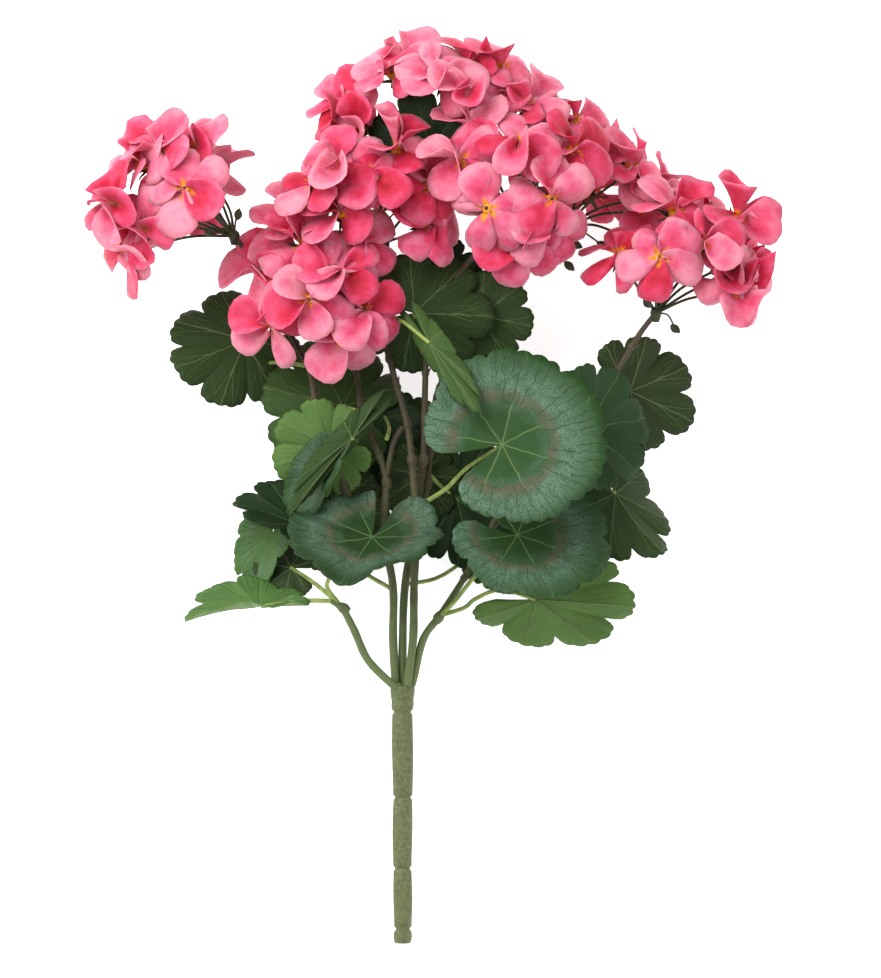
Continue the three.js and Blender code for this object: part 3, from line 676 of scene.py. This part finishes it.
def sheets(name, grid, surfaces, thickness, materials, uv_name, facts):
    """Thin closed sheets in one mesh, each the grid moved on to a surface.

    A surface gives, for a place on the grid, the point in space and the point on its own map.
    facts holds a number for each sheet under each attribute's name.
    """
    places, faces = grid
    points, charts, corners = [], [], []
    for surface in surfaces:
        start = len(points)
        for across, along in places:
            point, chart = surface(across, along)
            points.append(lifted(point))
            charts.append(chart)
        corners += [tuple(start + i for i in face) for face in faces]
    mesh = bpy.data.meshes.new(name)
    mesh.from_pydata(points, [], corners)
    layer = mesh.uv_layers.new(name=uv_name)
    for corner in mesh.loops:
        layer.data[corner.index].uv = charts[corner.vertex_index]
    for fact, numbers in facts.items():
        attribute = mesh.attributes.new(fact, "FLOAT", "POINT")
        attribute.data.foreach_set("value", [n for n in numbers for _ in places])
    for material in materials:
        mesh.materials.append(material)
    piece = new_object(name, mesh)
    choose(piece)
    bpy.ops.object.mode_set(mode="EDIT")
    bpy.ops.mesh.select_all(action="SELECT")
    bpy.ops.mesh.remove_doubles(threshold=SAME_PLACE)
    bpy.ops.object.mode_set(mode="OBJECT")
    thick = piece.modifiers.new("thickness", "SOLIDIFY")
    thick.thickness = thickness
    thick.offset = 0
    thick.material_offset = len(materials) - 1
    thick.material_offset_rim = len(materials) - 1
    bpy.ops.object.modifier_apply(modifier="thickness")
    bpy.ops.object.shade_smooth()
    return piece


# ---- the handle

# The stub is moulded in five lengths, with a notch between each and the next, and swells a
# little in the middle of each. Places are shares of its length.
NOTCHES = (0.055, 0.29, 0.565, 0.895)
NOTCH_HALF_WIDTH = 1.1
NOTCH_DEPTH = 0.7
SWELLING = 0.35
HANDLE_SIDES = 32
# The collar under the fork: each depth below the fork, and how much is turned off its radius
COLLAR = ((5, 0.3), (3, 0), (0.6, 0.1), (0, 0.7))
COLLAR_START = 6
# The mould left a low seam down each side, and the stub isn't quite round.
SEAM_HEIGHT = 0.28
SEAM_HALF_WIDTH = 0.2
SEAM_TURN = 0.35
WAVER = 0.12


def handle_stations():
    """The stub's radius at each height that its outline needs, from the cut end up."""
    bounds = [0, *[n * HANDLE_LENGTH for n in NOTCHES], HANDLE_LENGTH - COLLAR_START]
    stations = [(0, HANDLE_END_RADIUS - 0.5), (0.5, HANDLE_END_RADIUS)]
    for low, high in zip(bounds, bounds[1:]):
        for share in (0.15, 0.35, 0.5, 0.65, 0.85):
            height = mix(low + NOTCH_HALF_WIDTH, high - NOTCH_HALF_WIDTH, share)
            taper = mix(HANDLE_END_RADIUS, HANDLE_RADIUS, height / HANDLE_LENGTH)
            stations.append((height, taper + SWELLING * math.sin(math.pi * share)))
        taper = mix(HANDLE_END_RADIUS, HANDLE_RADIUS, high / HANDLE_LENGTH)
        if high < bounds[-1]:
            stations.append((high - NOTCH_HALF_WIDTH, taper))
            stations.append((high - 0.3, taper - NOTCH_DEPTH))
            stations.append((high + 0.3, taper - NOTCH_DEPTH))
            stations.append((high + NOTCH_HALF_WIDTH, taper + 0.1))
    return stations + [(HANDLE_LENGTH - below, COLLAR_RADIUS - less) for below, less in COLLAR]


def make_handle():
    """The stub: a disc at the cut end, drawn up and widened or narrowed at each station."""
    stations = handle_stations()
    bpy.ops.mesh.primitive_circle_add(
        vertices=HANDLE_SIDES, radius=stations[0][1], fill_type="NGON", location=(0, 0, 0))
    piece = bpy.context.view_layer.objects.active
    bpy.ops.object.mode_set(mode="EDIT")
    bpy.ops.mesh.select_all(action="SELECT")
    for (low, inner), (high, outer) in zip(stations, stations[1:]):
        bpy.ops.mesh.extrude_region_move(
            TRANSFORM_OT_translate={"value": (0, 0, high - low)})
        bpy.ops.transform.resize(
            value=(outer / inner, outer / inner, 1), center_override=(0, 0, high))
    bpy.ops.mesh.select_all(action="SELECT")
    bpy.ops.mesh.normals_make_consistent(inside=False)
    bpy.ops.object.mode_set(mode="OBJECT")
    for vertex in piece.data.vertices:
        turn = math.atan2(vertex.co.y, vertex.co.x)
        off_seam = abs(math.remainder(turn - SEAM_TURN, math.pi))
        seam = SEAM_HEIGHT * max(0, 1 - off_seam / SEAM_HALF_WIDTH)
        waver = WAVER * math.sin(3 * turn + vertex.co.z / 9)
        away = Vector((vertex.co.x, vertex.co.y, 0))
        if away.length > 1:
            vertex.co += away.normalized() * (seam + waver)
    piece.data.transform(Matrix.Rotation(-math.pi / 2, 4, "X"))
    piece.data.materials.append(HANDLE_PLASTIC)
    bpy.ops.object.shade_smooth_by_angle(angle=math.radians(50))
    finish_piece(piece, "handle_stub", ["handle"])


# ---- the stems


# The outlines of a knob and of a joint, as steps along the stem with the radius at each, and of
# a joint's bract: steps out and along, with the radius
KNOB = ((-3.2, 1.5), (-2, 2.1), (-0.6, 2.45), (0.8, 2.2), (2.2, 1.5), (3.6, 1.2))
JOINT_SWELLS = ((-1.6, 0), (-0.5, 0.38), (0.4, 0.34), (1.5, 0))
BRACT = ((0, 0, 0.7), (2, 1.2, 0.5), (2.9, 2.8, 0.12))


def stem_line(places, steps, radius, tapers, uneven, dice):
    """A smooth run through the places, whose radius tapers and is a little uneven."""
    line = smooth_line(places, steps)
    return [(p, radius * mix(*tapers, i / len(line)) + dice.uniform(-uneven, uneven))
            for i, p in enumerate(line)]


def make_stem(name, root, lower, upper, fork):
    """A wired stem: its thick run, its thin run, its knobs, and the stubs of cut shoots."""
    dice = random.Random(name)
    runs = []
    if lower:
        places = [from_fork(p) for p in lower]
        if root is not None:
            turn = math.radians(root)
            x = ROOT_CIRCLE_RADIUS * math.cos(turn)
            z = ROOT_CIRCLE_RADIUS * math.sin(turn)
            places = [Vector((x, HANDLE_LENGTH - ROOT_DEPTH, z)),
                      Vector((x, HANDLE_LENGTH - 1, z)), *places]
        runs.append(stem_line(places, 5, STEM_RADIUS, (1.12, 0.92), 0.08, dice))
        knob = from_fork(upper[0])
        runs.append(beads(knob, (from_fork(upper[1]) - knob).normalized(), KNOB))
    thin = stem_line([from_fork(p) for p in upper], 6, SHOOT_RADIUS, (1.15, 0.95), 0.05, dice)
    runs.append(thin)
    if fork:
        line = smooth_line([from_fork(p) for p in fork], 4)
        runs.append([(p, SHOOT_RADIUS) for p in line])
    # Joints along the stem, each a low ring with the stub of a bract
    for k in range(6, len(thin) - 3, 7):
        place, radius = thin[k]
        ahead = (thin[k + 1][0] - place).normalized()
        runs.append(beads(place, ahead, [(step, radius + more) for step, more in JOINT_SWELLS]))
        out = ahead.cross(Vector((dice.uniform(-1, 1), dice.uniform(-1, 1), 1))).normalized()
        runs.append([(place + out * away + ahead * step, r) for away, step, r in BRACT])
    piece = wires(runs, STEM_PLASTIC, sides=4)
    finish_piece(piece, name + "_wire", [name])


# ---- the flower heads

PETAL_GRID = grid_of(12, 6)
SEPAL_GRID = grid_of(2, 3)
PETALS = 5
BLADE_HALF_ANGLE = math.radians(76)
# The florets of the front turn from the line of their stalks towards whoever holds the bunch.
FACING_FRONT = Vector((0, 0, 0.5))

# What each petal is drawn from, lowest and highest. Its length and breadth are shares of the
# usual length. RISES and CURLS are for a bud and an open floret, in degrees, as are their spreads:
# how steeply the petal leaves the throat, and how far its tip turns back.
LENGTHS = (0.92, 1.08)
BREADTHS = (0.78, 0.98)
RISES = (70, 14)
RISE_SPREAD = (-12, 12)
CURLS = (50, 36)
CURL_SPREAD = (-26, 48)
# The arch across it, its lean on the next petal and its notch are shares of its length, and its
# wave is in millimetres. A petal whose fold is below nothing stays flat.
ARCHES = (-0.42, 0.36)
TILTS = (0.06, 0.34)
WAVE_HEIGHTS = (1.4, 3.6)
WAVES_ACROSS = (2.8, 5.2)
FOLDS = (-0.8, 0.3)
NOTCH_DEPTHS = (-0.02, 0.06)
CLAW_BREADTH = 0.3
THROAT_SLOPE = math.radians(24)
THROAT_SHARE = 0.15
PROFILE_STEPS = 16

SEPAL_LENGTH = 8.2
SEPAL_HALF_WIDTH = 1.35
SEPAL_LEANS = (50, 12)
EYE_RADIUS = 2.3
EYE_HEIGHT = 1.6
EYE_PLACE = 1.4
EYE_RIM = 0.55
EYE_DOME = 0.7
PIT_RIM = 0.75
PIT_DEPTH = 0.8

# Outlines of the moulded parts, as steps along each with the radius there
NECK_BELOW_EYE = 8
THROAT = ((-0.5, 0.8), (1, 1.3), (3, 1.5), (5.5, 1.8), (7.4, 2.3))
HUB = ((-4, 1.3), (-2, 2), (0, HUB_RADIUS), (1.6, 2.2), (2.8, 0.8))
BUD = ((-2.6, 0.5), (-1.6, 1.4), (-0.2, 1.9), (1.3, 1.6), (2.6, 0.8), (3.3, 0.2))
BUD_STALK_RADIUS = 0.42
# How strongly a petal's own dye tells against the middle dye
MIDDLE_DYE = 0.4
DYE_STRENGTH = 0.62


def turned(x, y, z, angle):
    """A place on a flat floret, turned about its eye."""
    return Vector((
        x * math.cos(angle) - y * math.sin(angle), x * math.sin(angle) + y * math.cos(angle), z))


def petal_surface(centre, turn, angle, opened, dice):
    """One petal of a floret: a broad, round, wavy blade on a short claw.

    It leaves the throat steeply, opens out and turns back at its tip, and is tilted a little so
    that it lies over the next petal on one side and under it on the other.
    """
    length = PETAL_LENGTH * dice.uniform(*LENGTHS)
    breadth = dice.uniform(*BREADTHS)
    rise = math.radians(mix(*RISES, opened) + dice.uniform(*RISE_SPREAD))
    tip = rise - math.radians(mix(*CURLS, opened) + dice.uniform(*CURL_SPREAD))
    arch = dice.uniform(*ARCHES)
    tilt = dice.uniform(*TILTS)
    wave = dice.uniform(*WAVE_HEIGHTS)
    waves = dice.uniform(*WAVES_ACROSS)
    phase = dice.uniform(0, 2 * math.pi)
    fold = max(0, dice.uniform(*FOLDS)) * (1.25 - opened)
    notch = dice.uniform(*NOTCH_DEPTHS)
    steps = PROFILE_STEPS
    profile = [(0.0, 0.0)]
    for i in range(steps):
        share = (i + 0.5) / steps
        throat = THROAT_SLOPE * max(0, 1 - share / THROAT_SHARE)
        slope = mix(rise, tip, share * share * (3 - 2 * share)) + throat
        x, z = profile[-1]
        profile.append((x + math.cos(slope) / steps, z + math.sin(slope) / steps))

    def surface(across, along):
        side = 2 * across - 1
        at = along * steps
        low = min(int(at), steps - 1)
        part = at - low
        out = mix(profile[low][0], profile[low + 1][0], part)
        up = mix(profile[low][1], profile[low + 1][1], part)
        spread = BLADE_HALF_ANGLE * side
        reach = length * (math.cos(spread) ** 0.66 - notch * math.exp(-(side / 0.2) ** 2))
        x = reach * out * math.cos(spread)
        y = reach * out * math.sin(spread) * breadth
        # The claw is narrow, and the blade has its full breadth from three quarters of the way.
        y *= mix(CLAW_BREADTH, 1, min(1, abs(x) / (0.75 * length)) ** 0.7)
        y *= 1 - 0.4 * fold
        z = length * up + length * along * (
            tilt * side - arch * side * side + 0.6 * fold * abs(side))
        z += wave * along ** 2 * (0.35 + 0.65 * abs(side)) * math.sin(waves * side + phase)
        z += 0.4 * wave * abs(side) ** 3 * math.sin(6 * along + phase)
        z += 0.3 * wave * along ** 5 * math.sin(2.3 * waves * side + 2 * phase)
        return centre + turn @ turned(x, y, z, angle), (across, along)

    return surface


def sepal_surface(centre, turn, angle, opened):
    """One narrow pointed sepal, lying back under the petals."""
    lean = math.radians(mix(*SEPAL_LEANS, opened))

    def surface(across, along):
        # Its tip is a hair wide, so that the sheet stays whole where it is welded.
        side = (2 * across - 1) * SEPAL_HALF_WIDTH * (1 - along ** 1.5) + 1e-3 * across
        out = 1.2 + SEPAL_LENGTH * along * math.cos(lean)
        up = -1.3 + SEPAL_LENGTH * along * math.sin(lean) - 2.2 * along * along - 0.4 * abs(side)
        return centre + turn @ turned(out, side, up, angle), (across, along)

    return surface


def eye_template():
    """The moulded eye of a floret, a low ochre cup with a pit whose floor is painted dark brown as
    the shade in the hole, modelled once.
    """
    bpy.ops.mesh.primitive_cylinder_add(
        vertices=10, radius=EYE_RADIUS, depth=EYE_HEIGHT, location=(0, 0, EYE_PLACE))
    piece = bpy.context.view_layer.objects.active
    piece.data.transform(piece.matrix_world)
    piece.matrix_world = Matrix.Identity(4)
    piece.data.materials.append(EYE_PLASTIC)
    piece.data.materials.append(PAINTED_PIT_SHADE)
    bpy.ops.object.mode_set(mode="EDIT")
    bpy.ops.mesh.select_all(action="DESELECT")
    bpy.ops.object.mode_set(mode="OBJECT")
    for face in piece.data.polygons:
        face.select = face.normal.z > 0.9
    bpy.ops.object.mode_set(mode="EDIT")
    bpy.ops.mesh.inset(thickness=EYE_RIM)
    bpy.ops.transform.translate(value=(0, 0, EYE_DOME))
    bpy.ops.mesh.inset(thickness=PIT_RIM)
    bpy.ops.mesh.extrude_region_move(TRANSFORM_OT_translate={"value": (0, 0, -PIT_DEPTH)})
    # The pit's floor takes the dark paint, which stands for the shade in the hole.
    piece.active_material_index = 1
    bpy.ops.object.material_slot_assign()
    bpy.ops.object.mode_set(mode="OBJECT")
    bpy.ops.object.shade_smooth_by_angle(angle=math.radians(60))
    mesh = piece.data
    bpy.data.objects.remove(piece)
    return mesh


EYE = eye_template()


def make_head(number, hub_place, florets, buds):
    """One head: its petals, its eyes, and its stalks with sepals, throats and buds."""
    dice = random.Random(100 + number)
    hub = from_fork(hub_place)
    petals, dyes, sepals, eyes, stalks, throats = [], [], [], [], [], []
    for offset, spin, opened, tones in florets:
        out = Vector(offset)
        face = out.normalized()
        if face.z > -0.2:
            face = (face + FACING_FRONT).normalized()
        turn = Vector((0, 0, 1)).rotation_difference(face).to_matrix()
        centre = hub + out
        for k in range(PETALS):
            angle = math.radians(spin + 360 / PETALS * k + dice.uniform(-14, 14))
            petals.append(petal_surface(centre, turn, angle, opened, dice))
            dye = mix(MIDDLE_DYE, int(tones[k]) / 9, DYE_STRENGTH)
            dyes.append(dye + dice.uniform(-0.05, 0.05))
            sepals.append(sepal_surface(centre, turn, angle + math.pi / PETALS, opened))
        eye = EYE.copy()
        eye.transform(Matrix.Translation(centre) @ turn.to_4x4())
        eyes.append(new_object("eye", eye))
        # The stalk leaves the hub along the stem, bends out, and meets the floret from behind.
        neck = centre - face * NECK_BELOW_EYE
        bend = hub + (neck - hub) * 0.5 + Vector((
            dice.uniform(-2, 2), 2.5 - 1.5 * abs(face.y), dice.uniform(-2, 2)))
        line = smooth_line([hub + face * 0.5, bend, neck], 5)
        stalks.append([(p, PEDICEL_RADIUS) for p in line])
        throats.append(beads(neck, face, THROAT))
    stalks.append(beads(hub, Vector((0, 1, 0)), HUB))
    for offset in buds:
        tip = hub + Vector(offset)
        bend = hub + Vector(offset) * 0.5 + Vector((dice.uniform(-1.5, 1.5), 2.5, 0))
        line = smooth_line([hub, bend, tip], 4)
        stalks.append([(p, BUD_STALK_RADIUS) for p in line])
        stalks.append(beads(tip, Vector(offset).normalized(), BUD))
    name = f"head_{number}"
    piece = sheets(name, PETAL_GRID, petals, PETAL_THICKNESS, [PETAL_FABRIC], "petal",
                   {"dye": dyes})
    finish_piece(piece, name + "_petals", [f"flower_head_{number}"])
    finish_piece(joined(eyes), name + "_eyes")
    calyces = sheets(name, SEPAL_GRID, sepals, 0.4, [TWIG_PLASTIC], "sepal", {})
    whole = joined([wires(stalks, TWIG_PLASTIC), wires(throats, THROAT_PLASTIC), calyces])
    finish_piece(whole, name + "_stalks")


# ---- the leaves

SCALLOPS_TO_A_LOBE = 5
LEAF_GRID = grid_of(MAIN_VEINS * SCALLOPS_TO_A_LOBE * 4, 10)
LOBE_DEPTH = 0.2
SCALLOP_DEPTH = 0.028
PLEAT = 1.1
CUPS = (2, 4)
FOLD_RADIUS = 2.5
NOTCH_ROUNDING = math.radians(24)
# Shares of the reach where a vein and its forks have points, and their radii at each end
VEIN_POINTS = (0.02, 0.2, 0.4, 0.6, 0.8, 0.93)
VEIN_RADII = (0.34, 0.1)
FORK_POINTS = (0.4, 0.55, 0.7, 0.85, 0.95)
FORK_RADII = (0.24, 0.08)
FORK_SPREAD = 0.17
PETIOLE_RADII = (1.0, 0.8)


def outline(angle, lobed):
    """How far the blade reaches at an angle from its midrib, as a share of its size.

    lobed is how deeply it is cut between its lobes, from 0 to 1.
    """
    lobe = MAIN_VEINS * angle / (2 * LEAF_REACH) * math.pi
    scallop = lobe * SCALLOPS_TO_A_LOBE
    reach = 0.85 + 0.15 * math.cos(angle)
    reach *= 1 - LOBE_DEPTH * lobed * (1 - abs(math.cos(lobe))) ** 3
    reach *= 1 - SCALLOP_DEPTH * (1 - abs(math.cos(scallop)))
    end = min(1, (LEAF_REACH - abs(angle)) / NOTCH_ROUNDING)
    return reach * (0.72 + 0.28 * math.sqrt(1 - (1 - end) ** 2))


def leaf_shape(centre, size, face, aim, wide, moulding, lobed, dice):
    """The blade's surface, as a function of an angle from the midrib and a share of the reach."""
    rise, droop, twist = [math.radians(bend) for bend in moulding[:3]]
    depth = moulding[3]
    normal = Vector(face).normalized()
    turn = math.radians(aim)
    slope = -(normal.x * math.cos(turn) + normal.y * math.sin(turn)) / normal.z
    midrib = Vector((math.cos(turn), math.sin(turn), slope)).normalized()
    side = midrib.cross(normal)
    radius = LEAF_RADIUS * size
    phases = [dice.uniform(0, 2 * math.pi) for _ in range(3)]
    cup = dice.uniform(*CUPS) * size

    def place(angle, out):
        length = radius * outline(angle, lobed) * out
        x = length * math.cos(angle)
        y = length * math.sin(angle)
        z = cup * out * out
        z += PLEAT * size * abs(math.sin(MAIN_VEINS * angle / (2 * LEAF_REACH) * math.pi)) * out
        z += depth * out ** 2.5 * math.sin(3 * angle + phases[0])
        z += 0.6 * depth * out ** 3 * math.sin(7 * angle + phases[1])
        y *= wide
        half = abs(y)
        lift = rise * (1 - math.exp(-half / FOLD_RADIUS))
        y = math.copysign(half * math.cos(lift), y) if half > 0 else 0
        z += half * math.sin(lift)
        drop = droop * abs(x) / radius
        z -= abs(x) * math.sin(drop / 2)
        x *= math.cos(drop / 2)
        wring = twist * x / radius
        y, z = (y * math.cos(wring) - z * math.sin(wring),
                y * math.sin(wring) + z * math.cos(wring))
        return centre + midrib * x + side * y + normal * z

    return place, normal


def make_leaf(number, row):
    """One leaf: its blade, the veins on its underside, and its stalk."""
    at, size, face, aim, wide, stalk, moulding = row
    # dark is partly the leaf's dye and partly painted shade for a leaf lying in shadow.
    *bends, zones, dark = moulding
    dice = random.Random(500 + number)
    centre = from_fork(at)
    # The printed leaves are cut rounder than the plain ones.
    lobed = 1 - 0.7 * zones
    place, normal = leaf_shape(centre, size, face, aim, wide, bends, lobed, dice)

    def surface(across, along):
        angle = mix(-LEAF_REACH, LEAF_REACH, across)
        reach = outline(angle, lobed) * along
        chart = (0.5 + 0.5 * reach * math.cos(angle), 0.5 + 0.5 * reach * math.sin(angle))
        return place(angle, along), chart

    blade = sheets(f"leaf_{number:02}", LEAF_GRID, [surface], LEAF_THICKNESS,
                   [LEAF_UPPER, LEAF_UNDER], "blade", {"zones": [zones], "dark": [dark]})
    # Veins stand proud of the underside and thin out towards the margin.
    veins = []
    for k in range(MAIN_VEINS):
        angle = mix(-LEAF_REACH, LEAF_REACH, (k + 0.5) / MAIN_VEINS)
        veins.append([(place(angle, s) - normal * 0.22, mix(*VEIN_RADII, s))
                      for s in VEIN_POINTS])
        for fork in (-FORK_SPREAD, FORK_SPREAD):
            veins.append([(place(angle + fork * (s - FORK_POINTS[0]) * 2, s) - normal * 0.2,
                           mix(*FORK_RADII, s)) for s in FORK_POINTS])
    line = smooth_line([*[from_fork(p) for p in stalk], centre - normal * 0.6], 5)
    petiole = [(p, mix(*PETIOLE_RADII, i / len(line))) for i, p in enumerate(line)]
    whole = joined([blade, wires([petiole], PETIOLE_PLASTIC), wires(veins, VEIN_FABRIC, sides=1)])
    finish_piece(whole, f"leaf_{number:02}_blade", [f"leaf_{number:02}"])


make_handle()
for stem in STEMS:
    make_stem(*stem)
for count, head in enumerate(HEADS, 1):
    make_head(count, *head)
for count, leaf in enumerate(LEAVES, 1):
    make_leaf(count, leaf)

# ---- the studio

FLOOR_SIZE = 12
FLOOR_GLOW = 0.7
SKY_STRENGTH = 0.78
CROWN_MIDDLE = Vector((15, 240, 0))
# The camera's view: its middle and its height in the bunch, and a lens long enough to look flat
VIEW_MIDDLE = Vector((16.6, 198.9, 0))
VIEW_HEIGHT = 428.4
LENS = 180
SENSOR = 36
FARTHEST = 50


def make_floor():
    """A pale matt table top, wide enough to fill the view."""
    material, tree, out = new_finish("matt_white_card")
    surface_of(tree, out, {
        "Base Color": colour("#fdfdfd"), "Roughness": 0.9, "Specular IOR Level": 0.1,
        "Emission Color": (1, 1, 1, 1), "Emission Strength": FLOOR_GLOW})
    bpy.ops.mesh.primitive_plane_add(size=FLOOR_SIZE, location=(0, 0, 0))
    floor = bpy.context.view_layer.objects.active
    floor.name = "floor"
    floor.data.materials.append(material)


def make_light(name, direction, distance, size, power):
    """A soft square light, aimed at the middle of the crown from a direction in the bunch."""
    way = TIPPED @ Vector(direction).normalized()
    data = bpy.data.lights.new(name, "AREA")
    data.shape = "SQUARE"
    data.size = size
    data.energy = power
    light = new_object(name, data)
    light.location = LAID @ CROWN_MIDDLE + way * distance
    light.rotation_euler = (-way).to_track_quat("-Z", "Y").to_euler()


def make_camera():
    """Looks square on at the front of the bunch, from above, through a long lens."""
    data = bpy.data.cameras.new("camera")
    data.lens = LENS
    data.sensor_width = SENSOR
    data.clip_end = FARTHEST
    camera = new_object("camera", data)
    camera.matrix_world = TIPPED.to_4x4()
    away = TIPPED @ Vector((0, 0, VIEW_HEIGHT * MM * LENS / SENSOR))
    camera.location = LAID @ VIEW_MIDDLE + away
    bpy.context.scene.camera = camera


def make_world():
    """Even white light from all round."""
    world = bpy.data.worlds.new("white_studio")
    world.use_nodes = True
    sky = world.node_tree.nodes["Background"]
    sky.inputs["Color"].default_value = (1, 1, 1, 1)
    sky.inputs["Strength"].default_value = SKY_STRENGTH
    bpy.context.scene.world = world


make_floor()
make_light("key_softbox", (-0.6, 0.6, 0.9), 1.0, 0.8, 13)
make_light("fill_softbox", (0.8, -0.2, 0.8), 1.4, 1.0, 4)
make_camera()
make_world()
bpy.context.scene.view_settings.view_transform = "Standard"

bpy.context.view_layer.update()
